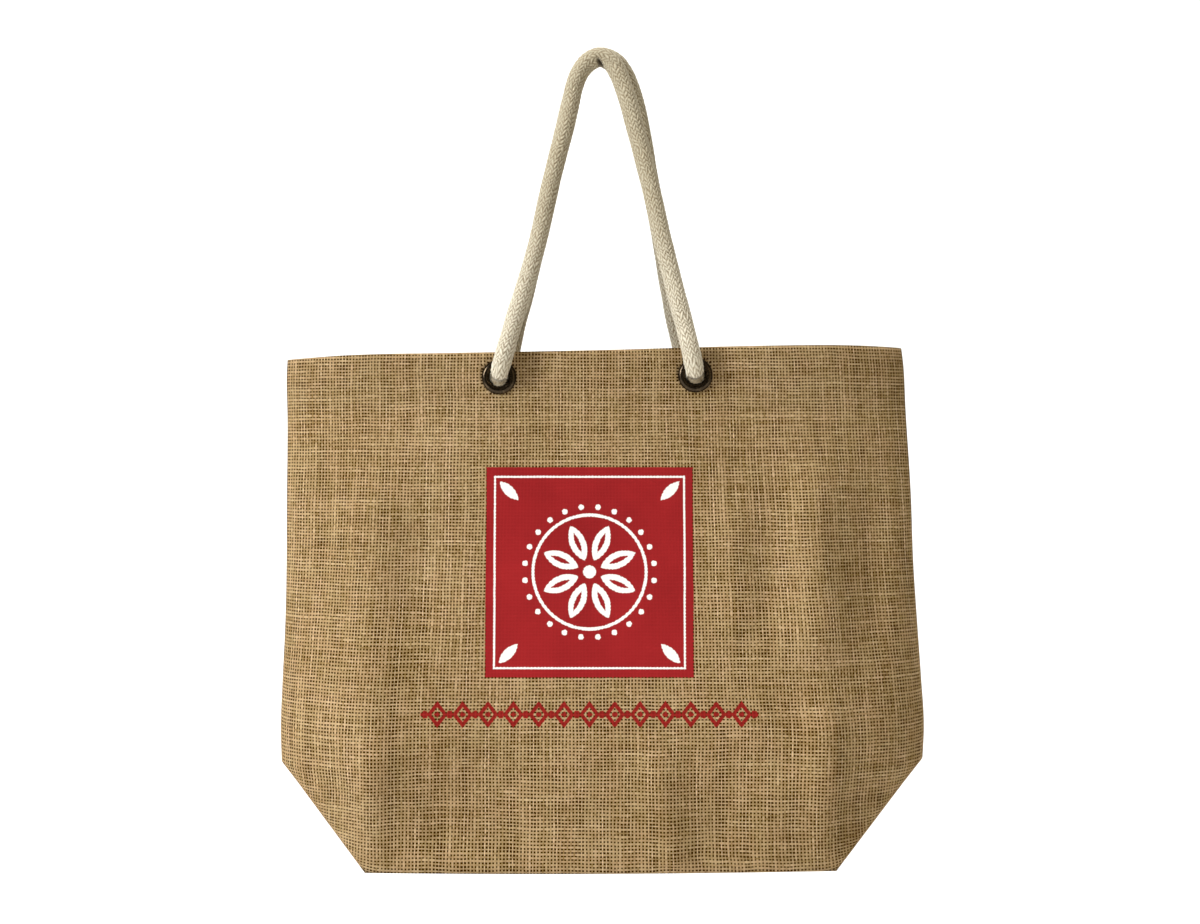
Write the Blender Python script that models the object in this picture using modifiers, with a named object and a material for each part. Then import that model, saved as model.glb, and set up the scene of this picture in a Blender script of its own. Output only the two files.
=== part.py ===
"""A burlap tote bag with two braided rope handles, hanging by them.

Metres, +Z up, the front towards -Y. The origin is the point that the handles hang from, under
the bend of both. The body is one hollow shell of cloth: two panels that are drawn together at
the side seams, a foot that is folded up inside, and boxed corners that are folded inwards.
Tables are in millimetres, and MM turns them into metres.
"""

import math

import bmesh
import bpy
import numpy as np
from mathutils import Matrix, Vector

MM = 0.001
MERGE = 0.01 * MM  # points closer than this are one
SHARP_ANGLE = math.radians(40)  # an edge that turns more than this is shaded sharp

# --- the cloth -------------------------------------------------------------------------------
CLOTH = 1.5 * MM  # one layer, with its backing
HEM = 2.5 * MM  # the turned-in hem, two layers pressed together
HEM_SHARE = 0.14  # the part of the side seam that the hem takes
HEM_STEP = 0.008  # the part of the side seam over which its inner edge thins out

# The outline of the body from the front: a row for each level of the side seam.
# share of the way down the side seam, x of the left seam, x of the right seam
SIDE_LEVELS = (
    (0.00, -231.9, 222.2),
    (0.03, -232.4, 223.4),
    (0.15, -231.9, 225.4),
    (0.35, -232.4, 229.2),
    (0.53, -232.7, 231.2),
    (0.66, -233.6, 233.8),
    (0.80, -235.6, 236.8),
    (0.93, -236.9, 239.0),
    (1.00, -236.2, 238.0),
)
# share across the width, from the left seam to the right one, and the height of the top edge there
TOP_EDGE = (
    (-1.00, -214.9),
    (-0.93, -214.3),
    (-0.85, -213.3),
    (-0.45, -211.6),
    (0.00, -209.6),
    (0.47, -206.7),
    (0.85, -205.5),
    (1.00, -206.2),
)
SEAM_FOOT_Z = (-511.2 * MM, -508.6 * MM)  # where each side seam turns into its boxed corner
CORNER_X = (-166.8 * MM, 166.3 * MM)  # the ends of the fold at the foot of a panel
CORNER_Z = (-580.6 * MM, -579.2 * MM)
FOOT_SAG = 1.4 * MM  # how far that fold dips at its middle

# The depth of the body, from the middle plane to the outside of a panel.
DEPTH_TOP = 29.0 * MM
DEPTH_SEAM_FOOT = 46.0 * MM
DEPTH_FOOT = 50.0 * MM
FLAT_TOP = 0.16  # the part of the side seam over which a panel's middle hangs straight down
ROUND_TOP = 130.0 * MM  # the width over which a panel turns in to its seam, at the top edge
ROUND_LOW = 82.0 * MM  # the same at the foot of the seam
ROUND_POWER = 0.625  # under 1, so that the seam is a rounded edge

# The gusset of each boxed corner: its seam's inner end, from the corner at the foot of a panel.
GUSSET_IN = 13.0 * MM
GUSSET_UP = 48.5 * MM
FOOT_UP = 50.0 * MM  # how far the fold along the middle of the foot is pushed up inside
FOOT_POWER = 1.12  # over 1, so that this fold is a soft one
FOOT_END_POWER = 6  # high, so that the foot meets its gussets only near its ends

# Slack in the cloth: soft ridges and troughs that run down a panel, a row for each.
# x and z of its upper end, x and z of its lower end, half width, height (below 0 is a trough)
FRONT_FOLDS = (
    (-203, -262, -203, -425, 13, -1.6),
    (-168, -262, -166, -585, 22, 2.4),
    (-166, -480, -171, -605, 16, 1.8),
    (-130, -320, -127, -425, 20, -1.4),
    (-117, -515, -113, -605, 10, -0.9),
    (-92, -480, -88, -605, 42, -2.2),
    (36, -490, 56, -605, 15, 2.0),
    (76, -505, 92, -605, 14, -1.3),
    (96, -310, 97, -430, 15, 1.3),
    (120, -300, 121, -430, 13, -1.2),
    (122, -500, 125, -605, 20, 1.8),
    (157, -280, 160, -452, 19, 3.4),
    (160, -490, 166, -585, 18, 1.6),
    (199, -280, 200, -450, 13, -2.0),
)
BACK_FOLDS = (
    (-150, -270, -140, -560, 24, 2.4),
    (-60, -330, -75, -605, 34, -2.0),
    (10, -480, 20, -605, 18, 1.6),
    (95, -290, 110, -500, 26, 2.2),
    (165, -300, 160, -605, 18, -1.6),
)
FOLD_FADE = 0.3  # the part of a fold's length over which each of its ends dies out
SLACK_FADE = (0.15, 0.15)  # levels over which all folds die out at the hem and at the foot

COLUMNS = 36
COLUMN_CROWDING = 0.55  # 0 spaces the columns evenly, 1 crowds them at the seams
ROWS = 20
GUSSET_ROWS = 5
GUSSET_COLUMNS = 3

# --- eyelets ---------------------------------------------------------------------------------
EYELET_X = (-73.4 * MM, 68.0 * MM)
EYELET_Z = (-229.1 * MM, -227.7 * MM)
EYELET_HOLE = 6.9 * MM  # radius inside the barrel
EYELET_BARREL = 7.6 * MM
EYELET_FLANGE = 12.5 * MM
FLANGE_HEIGHT = 2.7 * MM
FLANGE_DEGREES = (150, 115, 80, 45, 0)  # corners of the flange's dome, from the hole outwards
CURL = 1.2 * MM  # how far the barrel's end is turned out over the washer, and its thickness
WASHER = 11.5 * MM
WASHER_THICK = 0.8 * MM
WASHER_EDGE = 0.5 * MM  # the bevel of its rim
GAP = 0.3 * MM
TURNED_STEPS = 20

# --- handles ---------------------------------------------------------------------------------
ROPE = 6.75 * MM  # radius
ROPE_IN_EYELET = 6.45 * MM
ROPE_AT_BEND = 7.4 * MM
BEND_Z = 7.0 * MM  # the middle of the bend
BEND_REACH = 26.0 * MM  # how far from there the rope thins to its usual radius
SQUEEZE_REACH = 8.0 * MM  # the rope is squeezed over this length at each end
SQUEEZE_FADE = 12.0 * MM  # and swells to its usual radius over this one
RIM_DEGREES = (82, 62, 42, 22, 4, -8)  # points of its turn over an eyelet's rim, outwards and up
ROPE_END = 1.6 * MM  # from the eyelet's curl to the rope's end, where its knot starts
ROPE_SIDES = 10
ROPE_STEP = 5.0 * MM
PLAIT_RISE = 0.35 * MM  # strands of the braid stand this much above and below the rope's radius
PLAIT_FADE = 24.0 * MM  # over this length at each end the braid is pressed smooth
HANDLE_TOP_DEPTH = 7.3 * MM  # the middle of each rope from the middle plane, at the bend

# The route of each handle between its eyelets, from the left one to the right one.
# x, z, seen from the front
FRONT_ROUTE = (
    (-62.2, -188.5),
    (-56.8, -171.1),
    (-51.5, -153.5),
    (-46.8, -135.9),
    (-42.8, -118.2),
    (-39.0, -100.4),
    (-35.1, -82.5),
    (-30.8, -64.5),
    (-26.2, -46.5),
    (-22.1, -28.3),
    (-19.4, -14.7),
    (-14.9, -3.2),
    (-8.1, 4.4),
    (-0.4, 7.1),
    (7.0, 3.9),
    (12.6, -5.0),
    (16.7, -16.2),
    (20.4, -28.3),
    (25.0, -46.5),
    (29.7, -64.5),
    (34.1, -82.5),
    (38.1, -100.4),
    (41.9, -118.2),
    (45.8, -135.9),
    (50.0, -153.5),
    (54.4, -171.1),
    (58.8, -188.5),
)
BACK_ROUTE = (
    (-63.0, -182.0),
    (-57.9, -164.0),
    (-53.4, -146.0),
    (-49.2, -128.2),
    (-45.0, -110.4),
    (-40.8, -92.7),
    (-36.5, -75.0),
    (-32.0, -57.5),
    (-27.6, -40.0),
    (-23.4, -22.6),
    (-19.5, -9.0),
    (-14.4, 2.0),
    (-6.9, 9.0),
    (2.0, 11.0),
    (10.5, 7.6),
    (17.4, -0.4),
    (22.0, -10.5),
    (26.0, -22.6),
    (30.0, -40.0),
    (33.2, -57.5),
    (36.3, -75.0),
    (39.8, -92.7),
    (43.2, -110.4),
    (46.4, -128.2),
    (49.5, -146.0),
    (52.6, -164.0),
    (56.1, -182.0),
)

# --- knots -----------------------------------------------------------------------------------
KNOT_HALF = (17.5 * MM, 11.4 * MM, 15.5 * MM)  # half its width, depth and height
KNOT_DROP = 1.0 * MM  # how far its middle hangs below the eyelet's
KNOT_RIDGE = 0.09  # how far its turns stand out, as a part of the half sizes
KNOT_TURNS = 3
KNOT_SLANT = 2.6  # radians that a turn slants by over half the knot's depth
KNOT_FLAT = 1.12  # over 1, so that its front and back are pressed flat
KNOT_STEPS = 18
TAIL = (5.3 * MM, 6.3 * MM)  # radius of the rope's end below the knot, at its foot and its top
TAIL_LENGTH = 24.0 * MM
TAIL_IN_KNOT = 14.0 * MM  # how far its solid reaches up inside the knot's
TAIL_ASIDE = 4.0 * MM

# Each corner of the bag: name, side (0 left, 1 right), face (-1 front, 1 back).
PLACES = (
    ("front_left", 0, -1),
    ("front_right", 1, -1),
    ("back_left", 0, 1),
    ("back_right", 1, 1),
)


# --- scene helpers ---------------------------------------------------------------------------
def clear_scene():
    for obj in list(bpy.data.objects):
        bpy.data.objects.remove(obj, do_unlink=True)


def new_collection(name):
    made = bpy.data.collections.new(name)
    bpy.context.scene.collection.children.link(made)
    return made


def new_material(name, colour, roughness, metallic=0.0):
    material = bpy.data.materials.new(name)
    material.use_nodes = True
    shader = material.node_tree.nodes["Principled BSDF"]
    shader.inputs["Base Color"].default_value = (*colour, 1.0)
    shader.inputs["Roughness"].default_value = roughness
    shader.inputs["Metallic"].default_value = metallic
    return material


def new_object(name, mesh, collection, material):
    obj = bpy.data.objects.new(name, mesh)
    collection.objects.link(obj)
    if not mesh.materials:
        mesh.materials.append(material)
    return obj


def new_tool(name, mesh, collection, location):
    """An object that only cuts a part or is joined to one."""
    obj = bpy.data.objects.new(name, mesh)
    collection.objects.link(obj)
    obj.location = location
    obj.hide_render = True
    obj.display_type = "WIRE"
    return obj


def add_boolean(obj, operation, other):
    modifier = obj.modifiers.new(other.name, "BOOLEAN")
    modifier.operation = operation
    modifier.solver = "EXACT"
    modifier.object = other


def mesh_from(bm, name):
    """The mesh of a bmesh, shaded smooth except at its folds and rims."""
    mesh = bpy.data.meshes.new(name)
    bm.to_mesh(mesh)
    bm.free()
    mesh.shade_smooth()
    mesh.set_sharp_from_angle(angle=SHARP_ANGLE)
    return mesh


# --- curves ----------------------------------------------------------------------------------
def smooth_value(table, at, column=1):
    """The table's column at a value of its first one, read from a smooth curve through its rows."""
    xs = np.array([row[0] for row in table])
    ys = np.array([row[column] for row in table])
    slopes = np.gradient(ys, xs)
    k = int(np.clip(np.searchsorted(xs, at) - 1, 0, len(xs) - 2))
    width = xs[k + 1] - xs[k]
    t = min(max((at - xs[k]) / width, 0.0), 1.0)
    return (
        (2 * t**3 - 3 * t**2 + 1) * ys[k]
        + (t**3 - 2 * t**2 + t) * width * slopes[k]
        + (3 * t**2 - 2 * t**3) * ys[k + 1]
        + (t**3 - t**2) * width * slopes[k + 1]
    )


def smooth_path(points, step):
    """Points about a step apart on a smooth curve through the given ones."""
    points = np.array(points)
    along = np.concatenate(([0.0], np.cumsum(np.linalg.norm(np.diff(points, axis=0), axis=1))))
    tables = [list(zip(along, points[:, axis])) for axis in range(3)]
    fine = np.linspace(0.0, along[-1], 6 * len(points))
    dense = np.array([[smooth_value(table, at) for table in tables] for at in fine])
    length = np.concatenate(([0.0], np.cumsum(np.linalg.norm(np.diff(dense, axis=0), axis=1))))
    even = np.linspace(0.0, length[-1], round(length[-1] / step) + 1)
    return np.stack([np.interp(even, length, dense[:, axis]) for axis in range(3)], axis=1)


def ease(share):
    share = min(max(share, 0.0), 1.0)
    return share * share * (3 - 2 * share)


def mix(a, b, share):
    return a + (b - a) * share


# --- the body --------------------------------------------------------------------------------
def crowded(share):
    """Where a column stands between the middle (0) and a seam (-1 or 1)."""
    return mix(share, math.sin(share * math.pi / 2), COLUMN_CROWDING)


def row_levels():
    """The rows of a panel, from the top edge (0) to the foot of the seam (1) and its own foot (2)."""
    down = sorted({*np.linspace(0, 1, ROWS + 1).round(6), HEM_SHARE + HEM_STEP})
    return down + list(np.linspace(1, 2, GUSSET_ROWS + 1)[1:])


def slack(x, z, folds):
    """How far the folds of a panel push it outwards at a place."""
    out = 0.0
    for top_x, top_z, foot_x, foot_z, half_width, height in folds:
        down = (top_z * MM - z) / (top_z * MM - foot_z * MM)
        aside = (x / MM - mix(top_x, foot_x, down)) / half_width
        out += height * math.exp(-(aside**2)) * ease(down / FOLD_FADE) * ease((1 - down) / FOLD_FADE)
    return out * MM


def panel_depth(level):
    """How far the middle of a panel stands from the middle plane."""
    if level <= 1:
        return mix(DEPTH_TOP, DEPTH_SEAM_FOOT, ease((level - FLAT_TOP) / (1 - FLAT_TOP)))
    return mix(DEPTH_SEAM_FOOT, DEPTH_FOOT, level - 1)


def panel_point(share, level, face):
    """A point of a panel's outside. Share runs across from -1 to 1, and level is as in row_levels."""
    side = int(share > 0)
    across = abs(crowded(share))
    down = min(level, 1.0)
    past = max(level - 1.0, 0.0)
    edge = abs(smooth_value(SIDE_LEVELS, down, 1 + side)) * MM
    edge = mix(edge, abs(CORNER_X[side]), past)
    x = math.copysign(across * edge, share)
    from_left = (crowded(share) + 1) / 2
    z_top = smooth_value(TOP_EDGE, crowded(share)) * MM
    z_seam = mix(*SEAM_FOOT_Z, from_left)
    z_foot = mix(*CORNER_Z, from_left) - FOOT_SAG * (1 - across**2)
    z = mix(z_top, z_seam, down) if level <= 1 else mix(z_seam, z_foot, past)
    edge_depth = DEPTH_FOOT * past
    inward = (edge - across * edge) / mix(ROUND_TOP, ROUND_LOW, ease(down))
    rise = (1 - (1 - min(inward, 1.0)) ** 2) ** ROUND_POWER
    depth = mix(edge_depth, panel_depth(level), rise)
    loose = ease((level - HEM_SHARE) / SLACK_FADE[0]) * ease((2 - level) / SLACK_FADE[1]) * rise
    depth += loose * slack(x, z, FRONT_FOLDS if face < 0 else BACK_FOLDS)
    return Vector((x, face * depth, z))


def gusset_point(side, across, level):
    """A point of a boxed corner. Across runs from the front fold (-1) over the seam (0) to the back (1)."""
    past = level - 1.0
    turn = (-1, 1)[side]
    start = Vector((smooth_value(SIDE_LEVELS, 1.0, 1 + side) * MM, 0, SEAM_FOOT_Z[side]))
    end = Vector((CORNER_X[side] - turn * GUSSET_IN, 0, CORNER_Z[side] + GUSSET_UP))
    fold = panel_point(turn, level, math.copysign(1, across))
    seam = start.lerp(end, past)
    out = abs(across) ** mix(1, FOOT_POWER, past)
    return Vector((mix(seam.x, fold.x, out), mix(0, fold.y, abs(across)), mix(seam.z, fold.z, out)))


def foot_point(share, across):
    """A point of the foot. Across runs from the front fold (-1) to the back one (1)."""
    fold = panel_point(share, 2.0, -1)
    up = 1 - abs(across) ** FOOT_POWER
    side = int(share > 0)
    turn = (-1, 1)[side]
    rise = mix(FOOT_UP, CORNER_Z[side] + GUSSET_UP - fold.z, abs(share) ** FOOT_END_POWER)
    middle_x = fold.x - turn * GUSSET_IN * abs(crowded(share)) ** 2
    return Vector((mix(fold.x, middle_x, up), DEPTH_FOOT * across, fold.z + rise * up))


def add_patch(bm, grid):
    """Faces between rows of points. Rows run down and columns run right, seen from outside."""
    rows = [[bm.verts.new(point) for point in row] for row in grid]
    for upper, lower in zip(rows, rows[1:]):
        for k in range(len(upper) - 1):
            bm.faces.new((upper[k], lower[k], lower[k + 1], upper[k + 1]))


def body_surface():
    """The outside of the bag as an open surface, with its patches sewn together."""
    bm = bmesh.new()
    shares = np.linspace(-1, 1, COLUMNS + 1)
    levels = row_levels()
    low = [level for level in levels if level >= 1]
    halves = np.linspace(-1, 1, 2 * GUSSET_COLUMNS + 1)
    add_patch(bm, [[panel_point(s, level, -1) for s in shares] for level in levels])
    add_patch(bm, [[panel_point(s, level, 1) for s in reversed(shares)] for level in levels])
    add_patch(bm, [[gusset_point(1, h, level) for h in halves] for level in low])
    add_patch(bm, [[gusset_point(0, h, level) for h in reversed(halves)] for level in low])
    add_patch(bm, [[foot_point(s, h) for s in shares] for h in halves])
    bmesh.ops.remove_doubles(bm, verts=bm.verts, dist=MERGE)
    bmesh.ops.recalc_face_normals(bm, faces=bm.faces)
    return bm


def hem_foot(x):
    """The height of the hem's inner edge, at a place across the bag."""
    share = x / MM / abs(SIDE_LEVELS[0][1 + int(x > 0)])
    top = smooth_value(TOP_EDGE, share) * MM
    return mix(top, mix(*SEAM_FOOT_Z, (share + 1) / 2), HEM_SHARE + HEM_STEP / 2)


def make_body(parts, cutters, material):
    mesh = mesh_from(body_surface(), "bag_body")
    body = new_object("bag_body", mesh, parts, material)
    layers = body.vertex_groups.new(name="layers")
    for vertex in mesh.vertices:
        in_hem = vertex.co.z > hem_foot(vertex.co.x)
        layers.add([vertex.index], 1.0 if in_hem else CLOTH / HEM, "REPLACE")
    solidify = body.modifiers.new("cloth", "SOLIDIFY")
    solidify.thickness = HEM
    solidify.offset = -1
    solidify.use_even_offset = True
    solidify.use_quality_normals = True
    solidify.vertex_group = layers.name
    bm = bmesh.new()
    bmesh.ops.create_cone(
        bm,
        cap_ends=True,
        segments=TURNED_STEPS,
        radius1=EYELET_BARREL + GAP,
        radius2=EYELET_BARREL + GAP,
        depth=4 * HEM,
        matrix=Matrix.Rotation(math.pi / 2, 4, "X"),
    )
    hole = mesh_from(bm, "eyelet_hole")
    for name, side, face in PLACES:
        place = (EYELET_X[side], face * DEPTH_TOP, EYELET_Z[side])
        add_boolean(body, "DIFFERENCE", new_tool("hole_" + name, hole, cutters, place))


# --- turned pieces ---------------------------------------------------------------------------
def turned_mesh(name, profile):
    """The mesh of a closed profile of (radius, height) rows, to be turned about Z by a Screw."""
    bm = bmesh.new()
    ring = [bm.verts.new((radius, 0, height)) for radius, height in profile]
    for k, vertex in enumerate(ring):
        bm.edges.new((vertex, ring[(k + 1) % len(ring)]))
    return mesh_from(bm, name)


def place_turned(name, mesh, parts, material, side, face):
    """The turned piece at its eyelet, its height measured outwards from the cloth's outside."""
    obj = new_object(name, mesh, parts, material)
    obj.location = (EYELET_X[side], face * DEPTH_TOP, EYELET_Z[side])
    obj.rotation_euler = (-face * math.pi / 2, 0, 0)
    screw = obj.modifiers.new("turned", "SCREW")
    screw.steps = TURNED_STEPS
    screw.render_steps = TURNED_STEPS
    screw.use_merge_vertices = True
    screw.merge_threshold = MERGE


def curl_height():
    """The height of the eyelet's curl where it lies on its washer, measured outwards from the cloth."""
    return -(HEM + GAP + WASHER_THICK + GAP)


def eyelet_profile():
    """Over the flange and down its outer side, along the barrel, round its curl, and up its inside."""
    middle = (EYELET_FLANGE + EYELET_HOLE) / 2
    half = (EYELET_FLANGE - EYELET_HOLE) / 2
    dome = [
        (middle + half * math.cos(angle), GAP + FLANGE_HEIGHT * math.sin(angle))
        for angle in np.radians(FLANGE_DEGREES)
    ]
    return dome + [
        (EYELET_BARREL, GAP),
        (EYELET_BARREL, curl_height()),
        (EYELET_BARREL + CURL, curl_height()),
        (EYELET_BARREL + CURL, curl_height() - CURL / 2),
        (EYELET_BARREL, curl_height() - CURL),
        (EYELET_HOLE, curl_height() - CURL / 2),
        (EYELET_HOLE, GAP),
    ]


def washer_profile():
    top = -(HEM + GAP)
    inner = EYELET_BARREL + GAP
    return [
        (WASHER, top),
        (WASHER - WASHER_EDGE, top - WASHER_THICK),
        (inner, top - WASHER_THICK),
        (inner, top),
    ]


def make_eyelets(parts, brass):
    eyelet = turned_mesh("eyelet", eyelet_profile())
    washer = turned_mesh("washer", washer_profile())
    for name, side, face in PLACES:
        place_turned("eyelet_" + name, eyelet, parts, brass, side, face)
        place_turned("washer_" + name, washer, parts, brass, side, face)


# --- handles ---------------------------------------------------------------------------------
def rope_end_height():
    """The height of the rope's end inside the eyelet, measured outwards from the cloth's outside."""
    return curl_height() - ROPE_END


def rim_points(side, face, near):
    """The rope's middle line from its end, out of an eyelet, and over its rim towards a point."""
    rim = (EYELET_FLANGE + EYELET_HOLE) / 2
    bend = FLANGE_HEIGHT + 2 * GAP + ROPE
    eyelet = Vector((EYELET_X[side], face * DEPTH_TOP, EYELET_Z[side]))
    out = Vector((0, face, 0))
    up = Vector((near[0] * MM - eyelet.x, 0, near[1] * MM - eyelet.z)).normalized()
    turn = [
        eyelet + out * (GAP + bend * math.cos(angle)) + up * (rim - bend * math.sin(angle))
        for angle in np.radians(RIM_DEGREES)
    ]
    return [eyelet + out * rope_end_height(), eyelet - out * HEM / 2, *turn]


def handle_points(route, face):
    """The rope's middle line: out of the left eyelet, up, over the bend and back in on the right."""
    left = rim_points(0, face, route[0])
    right = rim_points(1, face, route[-1])
    foot_z, foot_y = left[-1].z, abs(left[-1].y)
    top_z = max(z for _, z in route) * MM
    middle = []
    for x, z in route:
        rise = (z * MM - foot_z) / (top_z - foot_z)
        middle.append(Vector((x * MM, face * mix(foot_y, HANDLE_TOP_DEPTH, rise), z * MM)))
    return left + middle + right[::-1]


def path_frames(path):
    """Two directions across the path at each point, turned as little as possible along it."""
    tangents = np.gradient(path, axis=0)
    tangents /= np.linalg.norm(tangents, axis=1)[:, None]
    side = Vector(tangents[0]).orthogonal().normalized()
    frames = []
    for k, tangent in enumerate(tangents):
        tangent = Vector(tangent)
        if k:
            side = Vector(tangents[k - 1]).rotation_difference(tangent) @ side
            side = (side - tangent * side.dot(tangent)).normalized()
        frames.append((side, tangent.cross(side)))
    return frames


def rope_radius(point, from_end):
    """The rope's radius: fuller at the bend, and squeezed in the eyelets."""
    at_bend = ease(1 - math.hypot(point[0], point[2] - BEND_Z) / BEND_REACH)
    squeeze = ease(1 - (from_end - SQUEEZE_REACH) / SQUEEZE_FADE)
    return mix(mix(ROPE, ROPE_AT_BEND, at_bend), ROPE_IN_EYELET, squeeze)


def make_handle(name, route, face, parts, material):
    """A braided rope: a tube whose rings rise and fall in turn, as the strands of the braid do."""
    path = smooth_path(handle_points(route, face), ROPE_STEP)
    bm = bmesh.new()
    rings = []
    for k, (centre, (side, up)) in enumerate(zip(path, path_frames(path))):
        from_end = min(k, len(path) - 1 - k) * ROPE_STEP
        radius = rope_radius(centre, from_end)
        rise = PLAIT_RISE * ease((from_end - PLAIT_FADE / 2) / PLAIT_FADE)
        ring = []
        for j in range(ROPE_SIDES):
            angle = 2 * math.pi * (j + 0.5 * (k % 2)) / ROPE_SIDES
            bump = rise if j % 2 == (k // 2) % 2 else -rise
            around = side * math.cos(angle) + up * math.sin(angle)
            ring.append(bm.verts.new(Vector(centre) + around * (radius + bump)))
        rings.append(ring)
    for k, (near, far) in enumerate(zip(rings, rings[1:])):
        for j in range(ROPE_SIDES):
            after = (j + 1) % ROPE_SIDES
            if k % 2 == 0:
                bm.faces.new((near[j], near[after], far[j]))
                bm.faces.new((near[after], far[after], far[j]))
            else:
                bm.faces.new((near[j], near[after], far[after]))
                bm.faces.new((near[j], far[after], far[j]))
    bm.faces.new(rings[0])
    bm.faces.new(rings[-1])
    bmesh.ops.recalc_face_normals(bm, faces=bm.faces)
    new_object(name, mesh_from(bm, name), parts, material)


# --- knots -----------------------------------------------------------------------------------
def knot_mesh():
    """An overhand knot drawn tight: a flattened ball with the ridges of its turns."""
    bm = bmesh.new()
    bmesh.ops.create_uvsphere(bm, u_segments=KNOT_STEPS, v_segments=KNOT_STEPS // 2, radius=1.0)
    for vertex in bm.verts:
        x, y, z = vertex.co
        slant = KNOT_TURNS * math.atan2(z, x) + KNOT_SLANT * y
        out = 1 + KNOT_RIDGE * math.cos(slant) * (1 - y * y)
        flat = math.copysign(min(abs(y) * KNOT_FLAT, 1.0), y)
        vertex.co = (KNOT_HALF[0] * x * out, KNOT_HALF[1] * flat, KNOT_HALF[2] * z * out)
    return mesh_from(bm, "knot")


def tail_mesh():
    """The rope's end below a knot, measured from the knot's middle."""
    length = TAIL_LENGTH + TAIL_IN_KNOT
    middle = TAIL_IN_KNOT - KNOT_HALF[2] - length / 2
    bm = bmesh.new()
    bmesh.ops.create_cone(
        bm,
        cap_ends=True,
        segments=ROPE_SIDES,
        radius1=TAIL[0],
        radius2=TAIL[1],
        depth=length,
        matrix=Matrix.Translation((TAIL_ASIDE, 0, middle)),
    )
    return mesh_from(bm, "tail")


def make_knots(parts, cutters, material):
    knot, tail = knot_mesh(), tail_mesh()
    inward = GAP + KNOT_HALF[1] - rope_end_height()
    for name, side, face in PLACES:
        place = (EYELET_X[side], face * (DEPTH_TOP - inward), EYELET_Z[side] - KNOT_DROP)
        obj = new_object("knot_" + name, knot, parts, material)
        obj.location = place
        add_boolean(obj, "UNION", new_tool("tail_" + name, tail, cutters, place))


def main():
    clear_scene()
    parts = new_collection("burlap_bag")
    cutters = new_collection("cutters")
    jute = new_material("jute", (0.37, 0.245, 0.125), 0.9)
    brass = new_material("dark_brass", (0.055, 0.042, 0.028), 0.35, 1.0)
    cotton = new_material("cotton", (0.74, 0.68, 0.56), 0.85)
    make_body(parts, cutters, jute)
    make_eyelets(parts, brass)
    make_handle("handle_front", FRONT_ROUTE, -1, parts, cotton)
    make_handle("handle_back", BACK_ROUTE, 1, parts, cotton)
    make_knots(parts, cutters, cotton)


main()
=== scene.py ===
"""The looks of a burlap tote bag that hangs by its two braided rope handles.

Metres, +Z up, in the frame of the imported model: the origin is the point that the handles hang
from, and the front faces -Y. Tables are in millimetres. The cloth's UV map counts its yarns.
"""

import math

import bmesh
import bpy
import numpy as np
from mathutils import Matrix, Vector, noise


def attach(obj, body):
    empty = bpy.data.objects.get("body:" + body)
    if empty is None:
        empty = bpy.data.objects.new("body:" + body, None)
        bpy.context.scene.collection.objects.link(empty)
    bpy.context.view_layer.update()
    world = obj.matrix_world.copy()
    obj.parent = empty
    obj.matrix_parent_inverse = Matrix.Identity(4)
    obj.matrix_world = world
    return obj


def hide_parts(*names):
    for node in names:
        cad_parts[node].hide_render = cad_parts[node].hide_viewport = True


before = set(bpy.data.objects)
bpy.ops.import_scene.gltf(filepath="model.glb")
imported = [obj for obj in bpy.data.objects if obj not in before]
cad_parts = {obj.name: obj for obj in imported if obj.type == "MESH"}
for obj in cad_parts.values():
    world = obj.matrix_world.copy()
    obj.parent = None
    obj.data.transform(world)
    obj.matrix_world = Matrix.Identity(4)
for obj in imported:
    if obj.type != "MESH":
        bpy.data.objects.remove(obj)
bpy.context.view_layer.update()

MM = 0.001

# --- camera and stage ---
CAMERA_PLACE = (-0.7 * MM, -1.1, -290.3 * MM)
CAMERA_LENS = 44.6
FLOOR_Z = -0.78
BACKDROP_Y = 1.5
STAGE_HALF_WIDTH = 3.5
STAGE_FRONT_Y = -3.0
STAGE_TOP = 3.0
STAGE_CURVE = 0.7

# name, place, what it shines on, width and height, power, colour
LIGHTS = (
    ("key", (-1.9, -1.3, 0.55), (0, 0, -0.35), (0.6, 0.9), 63, (0.965, 0.975, 1.0)),
    ("fill", (1.4, -1.8, 0.2), (0, 0, -0.35), (1.2, 1.2), 5.3, (1.0, 0.82, 0.5)),
    ("glint", (0.75, -0.9, -0.75), (0, 0, -0.23), (0.05, 0.14), 0.7, (1.0, 0.95, 0.88)),
    ("backdrop_light", (0, -0.2, 2.4), (0, 1.3, -0.2), (2.4, 0.8), 95, (1.0, 1.0, 1.0)),
)
WORLD_COLOUR = (1.0, 0.89, 0.69, 1.0)
WORLD_STRENGTH = 0.13

# --- the cloth, as in the solids ---
CLOTH = 1.5 * MM
HEM = 2.5 * MM
HEM_SHARE = 0.14  # the part of the side seam that the hem takes
HEM_STEP = 0.008

# share of the way down the side seam, x of the left seam, x of the right seam
SIDE_LEVELS = (
    (0.00, -231.9, 222.2), (0.03, -232.4, 223.4), (0.15, -231.9, 225.4),
    (0.35, -232.4, 229.2), (0.53, -232.7, 231.2), (0.66, -233.6, 233.8),
    (0.80, -235.6, 236.8), (0.93, -236.9, 239.0), (1.00, -236.2, 238.0),
)
# share across the width, -1 to 1, and z of the top edge there
TOP_EDGE = (
    (-1.00, -214.9), (-0.93, -214.3), (-0.85, -213.3), (-0.45, -211.6),
    (0.00, -209.6), (0.47, -206.7), (0.85, -205.5), (1.00, -206.2),
)
SEAM_FOOT_Z = (-511.2 * MM, -508.6 * MM)  # where each side seam turns into its boxed corner
CORNER_X = (-166.8 * MM, 166.3 * MM)
CORNER_Z = (-580.6 * MM, -579.2 * MM)
FOOT_SAG = 1.4 * MM  # how far the front fold of the foot dips at its middle

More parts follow.
